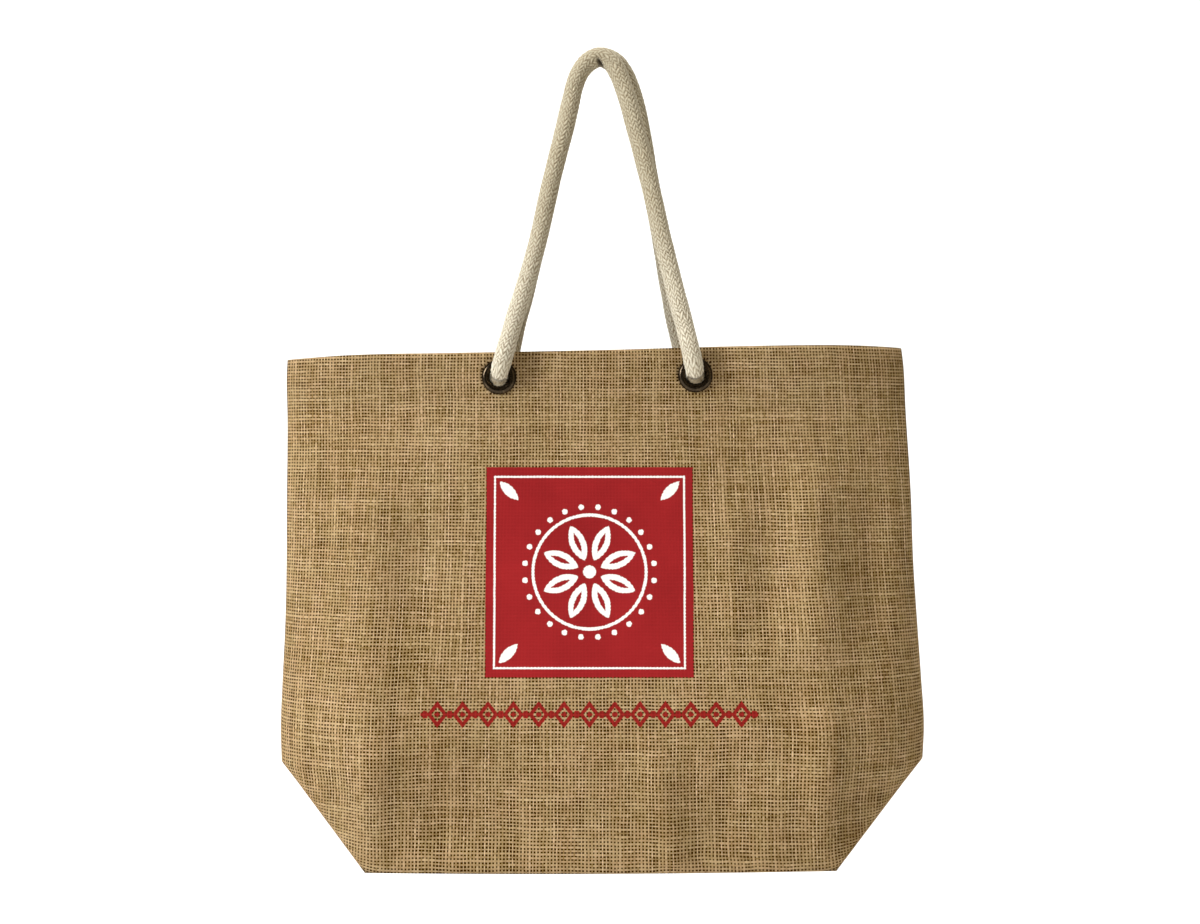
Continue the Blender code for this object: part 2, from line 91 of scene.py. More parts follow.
# From the middle plane to a panel, and how a panel rounds off towards its seams
DEPTH_TOP = 29.0 * MM
DEPTH_SEAM_FOOT = 46.0 * MM
DEPTH_FOOT = 50.0 * MM
FLAT_TOP = 0.16
ROUND_TOP = 130.0 * MM
ROUND_LOW = 82.0 * MM
ROUND_POWER = 0.625

GUSSET_IN = 13.0 * MM
GUSSET_UP = 48.5 * MM
FOOT_UP = 50.0 * MM  # how far the foot's middle fold is pushed up inside
FOOT_POWER = 1.12  # over 1, so that this fold is a soft one
FOOT_END_POWER = 6  # high, so that the foot meets its gussets only near its ends

# x and z of a fold's upper end and of its lower end, half width, height (below 0 is a trough)
FRONT_FOLDS = (
    (-203, -262, -203, -425, 13, -1.6), (-168, -262, -166, -585, 22, 2.4),
    (-161, -480, -173, -640, 15, 3.0), (-130, -320, -127, -425, 20, -1.4),
    (-117, -515, -113, -605, 10, -0.9), (-92, -480, -86, -630, 42, -2.4),
    (36, -470, 60, -640, 14, 2.8), (76, -505, 92, -605, 14, -1.3),
    (96, -310, 97, -430, 15, 1.3), (120, -300, 121, -430, 13, -1.2),
    (122, -500, 125, -605, 20, 1.8), (154, -270, 157, -460, 19, 3.6),
    (159, -425, 160, -640, 17, 3.4), (199, -280, 200, -450, 13, -2.0),
)
BACK_FOLDS = (
    (-150, -270, -140, -560, 24, 2.4), (-60, -330, -75, -605, 34, -2.0),
    (10, -480, 20, -605, 18, 1.6), (95, -290, 110, -500, 26, 2.2),
    (165, -300, 160, -605, 18, -1.6),
)
FOLD_FADE = 0.3
FOLD_GAIN = 2.4  # the thin cloth takes its folds deeper than the solid does
SLACK_FADE = 0.15  # over how much of the side seam the folds begin
RIDGE_FADE = 0.18  # over how much of the boxed corner the ridges end
TROUGH_FADE = 0.45  # the same for the troughs

# The grid of the visible cloth, and its relief on top of its folds
COLUMNS = 116
COLUMN_CROWDING = 0.45
ROWS = 76
GUSSET_ROWS = 18
GUSSET_COLUMNS = 18
COCKLE = 0.55 * MM  # height of the small uneven waves in the cloth
COCKLE_SIZE = (38 * MM, 52 * MM)  # their size across and down
COCKLE_FADE = (0.3, 0.2)  # over how much of a panel they begin and end
HEM_RIDGE = 0.35 * MM  # the soft ridge over the hem's inner edge
HEM_RIDGE_HALF = 0.012  # as a part of the side seam
EYELET_DIMPLE = 0.5 * MM  # how far an eyelet presses the cloth around it in
EYELET_DIMPLE_REACH = 9.0 * MM
WELD = 0.01 * MM

# The yarns, from the middle of one to the middle of the next.
WARP_PITCH = 2.38 * MM
WEFT_PITCH = (2.33 * MM, 2.56 * MM)  # at the top edge and at the foot of a panel
# How much of a panel's depth is counted: its yarns look even from the front
PANEL_DEPTH_SHARE = 0.65
# Added to the counts of the back, and of the gussets across and down
BACK_YARNS = 700
GUSSET_YARNS = (300, 200)

# --- eyelets ---
EYELET_X = (-73.4 * MM, 68.0 * MM)
EYELET_Z = (-229.1 * MM, -227.7 * MM)
EYELET_HOLE = 6.9 * MM
EYELET_BARREL = 7.6 * MM
EYELET_FLANGE = 12.5 * MM
FLANGE_HEIGHT = 2.7 * MM
EYELET_THICK = 0.6 * MM
CURL = 1.2 * MM
WASHER = 11.5 * MM
WASHER_THICK = 0.8 * MM
WASHER_ROUND = 0.3 * MM
GAP = 0.3 * MM
TURNED_STEPS = 72
SHARP_DEGREES = 50
# Points in an arc of the profile, and the degrees at which it starts and ends
FLANGE_ARC = (15, 180, 0)
FLANGE_UNDERSIDE_ARC = (11, 0, 150)
CURL_ARC = (7, 60, -150)
CUT_RADIUS = 9.2 * MM  # the hole in the cloth, hidden under the flange and the washer
# Heights are counted outwards from the cloth's outside.
WASHER_FOOT = -(HEM + GAP + WASHER_THICK + GAP)

# --- handles, as in the solids ---
ROPE = 6.75 * MM  # a radius, as the next two are
ROPE_IN_EYELET = 6.45 * MM
ROPE_AT_BEND = 7.4 * MM
BEND_Z = 7.0 * MM
BEND_REACH = 26.0 * MM
SQUEEZE_REACH = 8.0 * MM
SQUEEZE_FADE = 12.0 * MM
RIM_DEGREES = (82, 62, 42, 22, 4, -8)  # of the route's points round an eyelet's rim
ROPE_END = WASHER_FOOT - 1.6 * MM  # how high a handle ends, where its knot begins
HANDLE_TOP_DEPTH = 7.3 * MM

# The route of each handle between its eyelets, from the left one to the right one: x, z
FRONT_ROUTE = (
    (-62.2, -188.5), (-56.8, -171.1), (-51.5, -153.5), (-46.8, -135.9),
    (-42.8, -118.2), (-39.0, -100.4), (-35.1, -82.5), (-30.8, -64.5),
    (-26.2, -46.5), (-22.1, -28.3), (-19.4, -14.7), (-14.9, -3.2),
    (-8.1, 4.4), (-0.4, 7.1), (7.0, 3.9), (12.6, -5.0),
    (16.7, -16.2), (20.4, -28.3), (25.0, -46.5), (29.7, -64.5),
    (34.1, -82.5), (38.1, -100.4), (41.9, -118.2), (45.8, -135.9),
    (50.0, -153.5), (54.4, -171.1), (58.8, -188.5),
)
BACK_ROUTE = (
    (-63.0, -182.0), (-57.9, -164.0), (-53.4, -146.0), (-49.2, -128.2),
    (-45.0, -110.4), (-40.8, -92.7), (-36.5, -75.0), (-32.0, -57.5),
    (-27.6, -40.0), (-23.4, -22.6), (-19.5, -9.0), (-14.4, 2.0),
    (-6.9, 9.0), (2.0, 11.0), (10.5, 7.6), (17.4, -0.4),
    (22.0, -10.5), (26.0, -22.6), (30.0, -40.0), (33.2, -57.5),
    (36.3, -75.0), (39.8, -92.7), (43.2, -110.4), (46.4, -128.2),
    (49.5, -146.0), (52.6, -164.0), (56.1, -182.0),
)

# The braid: strands wind both ways round the rope, each over two others and under two.
STRANDS = 18  # winding each way
STITCH = 3.7 * MM  # from one strand to the next, along the rope
STRAND_SAMPLES = 6  # points of the mesh across a strand
STRAND_RELIEF = 0.75 * MM
STRAND_DIVE = 0.5  # how much of its height a strand loses where it goes under
STRAND_ROUND = 0.7  # the lower, the squarer a strand is across
STRAND_ARCH = 0.6  # the same along it, from one dive to the next
STRAND_WANDER = 0.8  # how far a strand strays, in strands
STRAND_WANDER_LENGTH = 6 * MM
ROPE_LUMP = 0.25 * MM
ROPE_LUMP_LENGTH = 17 * MM
KNEE_LUMP = 0.6 * MM  # more, where a handle turns out of its eyelet
KNEE_LUMP_LENGTH = 8 * MM
KNEE_LUMP_REACH = 32 * MM

# The crease where the rope is folded at its bend, as x and z of its upper and its lower end.
CREASE = ((-3.2, 7.0), (1.0, -3.3))
CREASE_DEPTH = 2.4 * MM
CREASE_HALF = 1.25 * MM
CREASE_OVERRUN = 2.0  # where it ends under the rope, in its own lengths
CREASE_FADE = 0.5  # over how much of its length it begins and ends
CREASE_WRAP = 0.6  # how far it reaches past the rope's side, in radii

# Where it leaves an eyelet, a handle's underside is tucked into the hole, with painted shade over
# the tucked part and a painted shadow along its edge.
KNEE_UP = 3.4 * MM  # how far the turn of the rope lies above the eyelet's axis
KNEE_RADIUS = 5.9 * MM
KNEE_EDGE = 0.9 * MM
KNEE_SEAT = 0.8 * MM  # how far the tucked part stands proud of the cloth
KNEE_REACH = 1.6 * ROPE
KNEE_SHADOW = 0.85
KNEE_HOLE_SHADE = 0.75
TUCK_LOOK = 60  # points from the path's end to where its direction is read

# --- knots ---
KNOT_DROP = 1.0 * MM
KNOT_ROPE = 5.5 * MM
KNOT_UNIT = 3.9 * MM  # size of the trefoil that the rope follows in its knot
KNOT_DEPTH = 5.5 * MM
KNOT_SAMPLES = 4
KNOT_HALF_DEPTH = 11.4 * MM
KNOT_ANGLES = (0.35, 2 * math.pi - 0.9)  # where the rope comes into the trefoil and leaves it
KNOT_POINTS = 30
KNOT_ENTRY = (3 * MM, 2 * MM)  # towards the eyelet and upwards, from the knot's middle
TAIL_NECK = (2 * MM, -20 * MM)  # x and z, also from there
TAIL_FOOT = (4 * MM, -41 * MM)

# Each eyelet: name, side (0 left, 1 right), face (-1 front, 1 back).
PLACES = (
    ("front_left", 0, -1), ("front_right", 1, -1),
    ("back_left", 0, 1), ("back_right", 1, 1),
)

# --- the print, in x and z of the front panel ---
BLOCK_MIDDLE = (-8.2 * MM, -368.9 * MM)
BLOCK_HALF = (74.3 * MM, 74.8 * MM)
BAND_Z = -469.5 * MM
BAND_HALF_WIDTH = 120 * MM
BAND_STEP = 18 * MM
DIAMOND_HALF = 9.6 * MM  # upright
DIAMOND_SLOPE = 1.3
DIAMOND_LINE = 4.3 * MM  # how broad its outline is
SEED_RADIUS = 1.95 * MM  # in a diamond's middle
DOT_RADIUS = 2.6 * MM  # between two diamonds
PRINT_EDGE = 0.2 * MM  # half the width over which the ink ends
FIGURE_EDGE = 0.18 * MM
INK_CREEP = 0.45 * MM  # how far the ink's edge follows the yarns

# The figure on the block. An oval is its middle's distance, its length and its width.
PETALS = 8
PETAL = (22 * MM, 27 * MM, 11.5 * MM)
PETAL_HOLLOW = (22.5 * MM, 15 * MM, 3.2 * MM)
HEART = 4.6 * MM
RING = (40.5 * MM, 1.1 * MM)  # its radius and half its width
BEADS = 24
BEAD = (46.5 * MM, 2.0 * MM)  # from the block's middle, and its radius
LEAF_CORNER = 60 * MM  # both ways from the block's middle to where a corner's leaf begins
LEAF = (3 * MM, 19 * MM, 7 * MM)
FRAME_LINE = (68 * MM, 0.7 * MM)  # from the block's middle, and half its width


# --- curves ---
def ease(share):
    share = np.clip(share, 0.0, 1.0)
    return share * share * (3 - 2 * share)


def mix(a, b, share):
    return a + (b - a) * share


def smooth_value(table, at, column=1):
    """The table's column at values of its first one, read from a smooth curve through its rows."""
    xs = np.array([row[0] for row in table], dtype=float)
    ys = np.array([row[column] for row in table], dtype=float)
    slopes = np.gradient(ys, xs)
    k = np.clip(np.searchsorted(xs, at) - 1, 0, len(xs) - 2)
    width = xs[k + 1] - xs[k]
    t = np.clip((at - xs[k]) / width, 0.0, 1.0)
    return (
        (2 * t**3 - 3 * t**2 + 1) * ys[k]
        + (t**3 - 2 * t**2 + t) * width * slopes[k]
        + (3 * t**2 - 2 * t**3) * ys[k + 1]
        + (t**3 - t**2) * width * slopes[k + 1]
    )


def lengths_along(path):
    """How far along a path each of its points is."""
    return np.concatenate(([0.0], np.cumsum(np.linalg.norm(np.diff(path, axis=0), axis=1))))


def smooth_path(points, step):
    """Points about a step apart on a smooth curve through the given ones."""
    points = np.array(points, dtype=float)
    along = lengths_along(points)
    fine = np.linspace(0.0, along[-1], 24 * len(points))
    tables = [list(zip(along, points[:, axis])) for axis in range(3)]
    dense = np.stack([smooth_value(table, fine) for table in tables], axis=1)
    length = lengths_along(dense)
    even = np.linspace(0.0, length[-1], round(length[-1] / step) + 1)
    return np.stack([np.interp(even, length, dense[:, axis]) for axis in range(3)], axis=1)


def from_nearer_end(path, step):
    """How far along an evenly stepped path each of its points is from the nearer end."""
    steps = np.arange(len(path))
    return np.minimum(steps, len(path) - 1 - steps) * step


# --- objects ---
def linked(name, data):
    """A new object in the scene."""
    made = bpy.data.objects.new(name, data)
    bpy.context.scene.collection.objects.link(made)
    return made


def new_piece(name, bm, materials):
    """A smooth object made of a bmesh, which is freed."""
    mesh = bpy.data.meshes.new(name)
    bm.to_mesh(mesh)
    bm.free()
    mesh.shade_smooth()
    for material in materials:
        mesh.materials.append(material)
    return linked(name, mesh)


def grid_piece(name, rows, material, closed=False, turned=False, capped=False):
    """A piece made of rows of points: each row closed, the last joined to the first, or capped."""
    bm = bmesh.new()
    rows = [[bm.verts.new(point) for point in row] for row in rows]
    if turned:
        rows.append(rows[0])
    for upper, lower in zip(rows, rows[1:]):
        for k in range(len(upper) if closed else len(upper) - 1):
            after = (k + 1) % len(upper)
            bm.faces.new((upper[k], lower[k], lower[after], upper[after]))
    if capped:
        bm.faces.new(rows[0])
        bm.faces.new(rows[-1])
    bmesh.ops.recalc_face_normals(bm, faces=bm.faces)
    return new_piece(name, bm, [material])


# --- camera, stage and light ---
def make_camera():
    data = bpy.data.cameras.new("camera")
    data.sensor_width = 36
    data.lens = CAMERA_LENS
    camera = linked("camera", data)
    camera.location = CAMERA_PLACE
    camera.rotation_euler = (math.pi / 2, 0, 0)
    bpy.context.scene.camera = camera
    bpy.context.scene.view_settings.view_transform = "Standard"


def make_stage():
    """A pale floor that curves up into a backdrop."""
    centre = (BACKDROP_Y - STAGE_CURVE, FLOOR_Z + STAGE_CURVE)
    profile = [(STAGE_FRONT_Y, FLOOR_Z)]
    for angle in np.linspace(0, math.pi / 2, 17):
        y = centre[0] + STAGE_CURVE * math.sin(angle)
        profile.append((y, centre[1] - STAGE_CURVE * math.cos(angle)))
    profile.append((BACKDROP_Y, STAGE_TOP))
    rows = [[(x, y, z) for x in (-STAGE_HALF_WIDTH, STAGE_HALF_WIDTH)] for y, z in profile]
    graph = Graph("studio_paper")
    shade = 0.9 + 0.02 * (graph.noise_at(graph.place(), 3.0) - 0.5)
    looks = {"Base Color": graph.grey(shade), "Roughness": 0.95, "Specular IOR Level": 0.1}
    grid_piece("studio_floor", rows, graph.surface(looks))


def make_light():
    for name, place, target, size, power, colour in LIGHTS:
        data = bpy.data.lights.new(name, "AREA")
        data.shape = "RECTANGLE"
        data.size, data.size_y = size
        data.energy = power
        data.color = colour
        light = linked(name, data)
        light.location = place
        aim = Vector(target) - Vector(place)
        light.rotation_euler = aim.to_track_quat("-Z", "Y").to_euler()
    world = bpy.data.worlds.new("studio")
    world.use_nodes = True
    background = world.node_tree.nodes["Background"]
    background.inputs["Color"].default_value = WORLD_COLOUR
    background.inputs["Strength"].default_value = WORLD_STRENGTH
    bpy.context.scene.world = world


# --- shader graphs ---
def math_node(operation, swapped=False):
    """A method that makes a Math node of a value and what is given to it."""

    def method(self, *others):
        return self.graph.math(operation, *((*others, self) if swapped else (self, *others)))

    return method


class Value:
    """A number that varies over a surface. Plain arithmetic on it makes Math nodes."""

    def __init__(self, graph, socket):
        self.graph, self.socket = graph, socket

    __add__ = math_node("ADD")
    __radd__ = math_node("ADD", swapped=True)
    __sub__ = math_node("SUBTRACT")
    __rsub__ = math_node("SUBTRACT", swapped=True)
    __mul__ = math_node("MULTIPLY")
    __rmul__ = math_node("MULTIPLY", swapped=True)
    __truediv__ = math_node("DIVIDE")
    __pow__ = math_node("POWER")
    __abs__ = math_node("ABSOLUTE")
    floor = math_node("FLOOR")
    fraction = math_node("FRACT")
    sine = math_node("SINE")
    cosine = math_node("COSINE")
    angle_from = math_node("ARCTAN2")
    at_least = math_node("MAXIMUM")
    at_most = math_node("MINIMUM")
    above = math_node("GREATER_THAN")

    def clamped(self):
        return self.graph.math("ADD", self, 0.0, clamp=True)

    def smooth(self, low, high):
        """0 below low, 1 above high, and eased between them."""
        made = self.graph.node("MapRange", self, low, high, interpolation_type="SMOOTHSTEP")
        return Value(self.graph, made.outputs["Result"])


class Graph:
    """A material's node tree, built by short calls."""

    def __init__(self, name):
        self.material = bpy.data.materials.new(name)
        self.material.use_nodes = True
        self.tree = self.material.node_tree
        self.shader = self.tree.nodes["Principled BSDF"]

    def node(self, kind, *values, **settings):
        """A new node, with these values for its first inputs."""
        made = self.tree.nodes.new("ShaderNode" + kind)
        for key, value in settings.items():
            setattr(made, key, value)
        for socket, value in zip(made.inputs, values):
            self.feed(socket, value)
        return made

    def feed(self, socket, value):
        if isinstance(value, Value):
            value = value.socket
        if isinstance(value, bpy.types.NodeSocket):
            self.tree.links.new(value, socket)
        else:
            socket.default_value = value

    def math(self, operation, *values, clamp=False):
        made = self.node("Math", *values, operation=operation, use_clamp=clamp)
        return Value(self, made.outputs[0])

    def split(self, vector):
        return [Value(self, output) for output in self.node("SeparateXYZ", vector).outputs]

    def join(self, *values):
        return self.node("CombineXYZ", *values).outputs[0]

    def place(self):
        """The point on the object, in metres."""
        return self.node("TexCoord").outputs["Object"]

    def attribute(self, name):
        return Value(self, self.node("Attribute", attribute_name=name).outputs["Fac"])

    def noise_at(self, vector, scale, detail=2.0, roughness=0.5):
        made = self.node("TexNoise")
        settings = {"Vector": vector, "Scale": scale, "Detail": detail, "Roughness": roughness}
        for name, value in settings.items():
            self.feed(made.inputs[name], value)
        return Value(self, made.outputs[0])

    def grey(self, value):
        return self.node("CombineColor", value, value, value).outputs[0]

    def blend(self, share, one, other, blend_type="MIX"):
        """A colour between two others, the first where share is 0."""
        made = self.node("Mix", data_type="RGBA", blend_type=blend_type)
        self.feed(made.inputs[0], share)
        for socket, colour in ((made.inputs[6], one), (made.inputs[7], other)):
            self.feed(socket, (*colour, 1.0) if isinstance(colour, tuple) else colour)
        return made.outputs[2]

    def tinted(self, colour, tint):
        """A colour times another one."""
        return self.blend(1.0, colour, tint, "MULTIPLY")

    def shaded(self, colour, factor):
        """A colour times a number."""
        return self.tinted(colour, self.grey(factor))

    def bump(self, height, distance, strength):
        made = self.node("Bump")
        made.inputs["Strength"].default_value = strength
        made.inputs["Distance"].default_value = distance
        self.feed(made.inputs["Height"], height)
        self.tree.links.new(made.outputs["Normal"], self.shader.inputs["Normal"])

    def surface(self, inputs):
        """The material, with these inputs of its shader set."""
        for name, value in inputs.items():
            self.feed(self.shader.inputs[name], value)
        return self.material


# --- materials ---
# Burlap, with lengths in yarns.
YARN_WIDTH = 0.54
YARN_WIDTH_SPREAD = 0.20  # from yarn to yarn
YARN_EDGE = 0.10
YARN_CHANGE = 0.03  # how fast a yarn changes its width and its shade
LANE_STEP = 7.31  # between neighbouring yarns in the noise
CHANCE_STRETCH = 2.2  # spreads the noise over 0 to 1
SLUB_SPREAD = 0.56  # along a yarn
SLUB_LENGTH = 0.22
PANE_YARNS = 6.75  # every so many yarns a paler, tighter one stands out
PANE_SHIFT = 2.5
PANE_LEAST = 0.2  # how much they do where they do least
WEFT_PANES = 0.45  # how much they do in the weft
PANE_NARROWING = 0.30  # how much wider the gaps beside it are
WANDER = 1.3
WANDER_SCALE = 0.045
# A yarn's height: from its roundness, its way over and under, its slubs, the gap beside it
CROWN_HEIGHT, LIFT_HEIGHT, SLUB_HEIGHT, GAP_DEPTH = 0.55, 0.42, 0.25, 1.6
# How pale it is: by itself, by chance, as one of the tight yarns, and from its fibres
PALE, PALE_CHANCE, PALE_PANE, PALE_FIBRE = 0.34, 0.34, 0.42, 0.25
DEEPEST = -0.9
GAP_HEIGHTS = (-0.75, 0.45)  # the heights at which the painted shadow in a gap and on a diving yarn is full and over

JUTE_PALE = (0.628, 0.462, 0.273)
JUTE_DEEP = (0.218, 0.135, 0.042)
JUTE_GAP_SHADOW = (0.038, 0.015, 0.001)
JUTE_ROSY = (1.012, 0.994, 1.0)
JUTE_OLIVE = (0.99, 1.004, 0.98)
PATCH_PALE, PATCH_SHADE = 0.25, 0.12  # how patchy the yarns' colour and the shade on it are
# painted shade over the hem band at the top of each panel
HEM_SHADE = 0.91
HEM_YARNS = 19.5
HEM_FADE = 7.0
FOOT_SHADE = 0.94  # painted shade: the cloth is darker low on the bag
FOOT_SHADE_Z = (-0.55, -0.46)  # where it is full, and where it ends
FLECKS = (0.735, 0.78)  # the noise at which a fleck begins, and is full
FLECK_DARK = 0.5
SEAM_HALF = (0.5 * MM, 1.4 * MM)  # half the width of the dark line along a side seam: the seam, with painted shade in its crease
SEAM_X = 195 * MM
SEAM_LINE_AND_SHADE = 0.55
CLOTH_ROUGHNESS, INK_ROUGHNESS = 0.88, 0.50
INK_FILL = 0.8  # how much of the weave's relief the ink on the block fills
INK_HEIGHT = 0.5

COTTON_PALE = (0.76, 0.715, 0.585)
COTTON_DEEP = (0.655, 0.60, 0.465)
COTTON_TOP_SHADE = (0.675, 0.655, 0.595)  # painted shade: the rope is darker and browner towards its top
TOP_SHADE_Z = (-0.20, -0.09)  # where that begins, and is full
# painted shade in the braid's hollows and in the eyelets, also the colour of dark flecks
COTTON_SHADE_AND_FLECKS = (0.19, 0.14, 0.075)
COTTON_FOLD_SHADOW = (0.035, 0.024, 0.014)

RED = (0.268, 0.0150, 0.0165)
WHITE = (0.83, 0.83, 0.79)
SMALL_RED = (0.24, 0.016, 0.013)

BRASS_DARK = (0.045, 0.033, 0.021)
BRASS_WORN = (0.22, 0.16, 0.09)


def yarns(graph, across, along, index, seed, lift, panes):
    """How high and how pale one family's yarns are. lift is 1 where they lie on top."""
    lane = index * LANE_STEP + seed
    at = graph.join(lane * 1.37, along * YARN_CHANGE, 3.0)
    chance = graph.noise_at(at, 1.0, 1.0) * CHANCE_STRETCH - (CHANCE_STRETCH - 1) / 2
    slub = graph.noise_at(graph.join(lane, along * SLUB_LENGTH, 0.0), 1.0, 3.0, 0.75)
    shift = graph.noise_at(graph.join(index * 0.11, seed, 0.0), 1.0, 1.0)
    phase = index * (2 * math.pi / PANE_YARNS) + PANE_SHIFT * shift + seed
    swing = phase.cosine() * 0.5 + 0.5
    patch = graph.noise_at(graph.join(index * 0.16, along * 0.07, seed), 1.0, 2.0)
    near_pane = swing**2 * (PANE_LEAST + (1 - PANE_LEAST) * patch.smooth(0.35, 0.6))
    pane = swing**5 * (PANE_LEAST + (1 - PANE_LEAST) * patch.smooth(0.4, 0.6))
    width = YARN_WIDTH + YARN_WIDTH_SPREAD * (chance - 0.5) + SLUB_SPREAD * (slub - 0.5)
    width = width - PANE_NARROWING * panes * near_pane
    side = (abs(across) * 2) / width
    arch = 1 - side * side
    beside = 1 - arch.smooth(-YARN_EDGE, YARN_EDGE)
    height = CROWN_HEIGHT * arch.at_least(0.0) ** 0.5 + LIFT_HEIGHT * lift
    height = height + SLUB_HEIGHT * (slub - 0.5) - GAP_DEPTH * beside
    fibre = graph.noise_at(graph.join(lane + across * 7.0, along * 0.8, 0.0), 1.0, 3.0, 0.7)
    pale = PALE + PALE_CHANCE * (chance - 0.5) + PALE_PANE * panes * pane
    return height, pale + (slub - 0.5) + PALE_FIBRE * (fibre - 0.5)


def weave(graph):
    """A plain weave of two families of yarns over the UV map that counts them."""
    u, v, _ = graph.split(graph.node("UVMap", uv_map="yarns").outputs["UV"])
    wander_u = graph.noise_at(graph.join(u, v, 0.0), WANDER_SCALE, 4.0, 0.62) - 0.5
    wander_v = graph.noise_at(graph.join(u, v, 40.0), WANDER_SCALE, 4.0, 0.62) - 0.5
    u = u + WANDER * wander_u
    v = v + WANDER * wander_v
    column, row = u.floor(), v.floor()
    warp_lift = ((v + column) * math.pi).sine()
    weft_lift = 0.0 - ((u + row) * math.pi).sine()
    warp, warp_pale = yarns(graph, u.fraction() - 0.5, v, column, 11.0, warp_lift, 1.0)
    weft, weft_pale = yarns(graph, v.fraction() - 0.5, u, row, 503.0, weft_lift, WEFT_PANES)
    height = warp.at_least(weft).at_least(DEEPEST)
    pale = weft_pale + (warp_pale - weft_pale) * warp.above(weft)
    return u, v, height, pale


def distance(x, y):
    return (x * x + y * y) ** 0.5


def oval(along, aside, middle, length, width):
    """How far a place is inside a pointed oval, where two circles cross."""
    radius = (length * length + width * width) / (4 * width)
    return radius - distance(along - middle, abs(aside) + (radius - width / 2))


def turned_about(x, z, folds):
    """How far x and z are from the middle, and where they lie in one of so many equal sectors."""
    sector = 2 * math.pi / folds
    folded = (z.angle_from(x) / sector).fraction() * sector - sector / 2
    far = distance(x, z)
    return far, far * folded.cosine(), far * folded.sine()


def printed(x, z, height):
    """Where the block, the figure on it and the small figures under it are."""
    bx, bz = x - BLOCK_MIDDLE[0], z - BLOCK_MIDDLE[1]
    uneven = INK_CREEP * (height - 0.3)
    block = (BLOCK_HALF[0] - abs(bx)).at_most(BLOCK_HALF[1] - abs(bz)) + uneven

    far, along, aside = turned_about(bx, bz, PETALS)
    figure = oval(along, aside, *PETAL).at_most(0.0 - oval(along, aside, *PETAL_HOLLOW))
    _, along, aside = turned_about(bx, bz, BEADS)
    beads = BEAD[1] - distance(along - BEAD[0], aside)
    corner_x, corner_z = LEAF_CORNER - abs(bx), LEAF_CORNER - abs(bz)
    leaf = oval((corner_x + corner_z) * 0.7071, (corner_x - corner_z) * 0.7071, *LEAF)
    frame_line = FRAME_LINE[1] - abs(abs(bx).at_least(abs(bz)) - FRAME_LINE[0])
    for other in (HEART - far, RING[1] - abs(far - RING[0]), beads, leaf, frame_line):
        figure = figure.at_least(other)
    figure = (figure + 0.4 * uneven).smooth(-FIGURE_EDGE, FIGURE_EDGE)

    rz = z - BAND_Z
    in_band = (BAND_HALF_WIDTH - abs(bx)).smooth(-PRINT_EDGE, PRINT_EDGE)
    step = (bx / BAND_STEP + 0.5).fraction() * BAND_STEP - BAND_STEP / 2
    half_step = (bx / BAND_STEP).fraction() * BAND_STEP - BAND_STEP / 2
    diamond = DIAMOND_HALF - (abs(step) * DIAMOND_SLOPE + abs(rz))
    diamond = diamond.at_most(DIAMOND_LINE - diamond)
    seed = SEED_RADIUS - distance(step, rz)
    dot = DOT_RADIUS - distance(half_step, rz)
    small = diamond.at_least(seed).at_least(dot) + uneven
    small = small.smooth(-PRINT_EDGE, PRINT_EDGE) * in_band
    return block.smooth(-PRINT_EDGE, PRINT_EDGE), figure, small


def burlap(name, with_print=False, tone=1.0):
    graph = Graph(name)
    u, v, height, pale = weave(graph)
    place = graph.place()
    x, y, z = graph.split(place)
    patchy = graph.noise_at(place, 14.0, 3.0) - 0.5
    colour = graph.blend((pale + PATCH_PALE * patchy).clamped(), JUTE_DEEP, JUTE_PALE)
    hue = graph.noise_at(place, 60.0, 1.0).smooth(0.35, 0.65)
    colour = graph.tinted(colour, graph.blend(hue, JUTE_ROSY, JUTE_OLIVE))
    # painted shadow in the gaps between yarns and where a yarn dives under another
    colour = graph.blend(1 - height.smooth(*GAP_HEIGHTS), colour, JUTE_GAP_SHADOW)
    # painted shade over the hem band at the top
    hem = 1 - v.smooth(HEM_YARNS - HEM_FADE / 2, HEM_YARNS + HEM_FADE / 2)
    # painted shade low on the bag
    low = 1 - z.smooth(*FOOT_SHADE_Z)
    # a tone below 1 is painted shade over a whole copy of the cloth
    shade = tone * (1 - (1 - HEM_SHADE) * hem) * (1 - (1 - FOOT_SHADE) * low)
    flecks = graph.noise_at(graph.join(u * 0.9, v * 0.35, 7.0), 1.0, 2.0, 0.7).smooth(*FLECKS)
    # a dark line along each side seam: the seam itself, with painted shade in its crease
    seam = (1 - abs(y).smooth(*SEAM_HALF)) * abs(x).above(SEAM_X)
    shade = shade * (1 + PATCH_SHADE * patchy) * (1 - FLECK_DARK * flecks) * (1 - SEAM_LINE_AND_SHADE * seam)
    colour = graph.shaded(colour, shade)
    relief = height
    roughness = CLOTH_ROUGHNESS
    if with_print:
        block, figure, small = printed(x, z, height)
        worn = graph.noise_at(place, 45.0, 4.0)
        # uneven ink, with painted sheen in the red's larger clouds and painted shade where the
        # weave dips
        red = graph.shaded(RED, 0.86 + 0.28 * worn + 0.05 * height + 0.45 * patchy)
        white = graph.shaded(WHITE, 0.94 + 0.08 * worn + 0.03 * height)
        small_red = graph.shaded(SMALL_RED, 0.97 + 0.25 * height)
        colour = graph.blend(small, colour, small_red)
        colour = graph.blend(block, colour, graph.blend(figure, red, white))
        relief = height * (1 - INK_FILL * block) + INK_HEIGHT * block
        roughness = CLOTH_ROUGHNESS - (CLOTH_ROUGHNESS - INK_ROUGHNESS) * block
    graph.bump(relief, 0.7 * MM, 0.4)
    looks = {"Base Color": colour, "Roughness": roughness, "Specular IOR Level": 0.02}
    return graph.surface(looks)


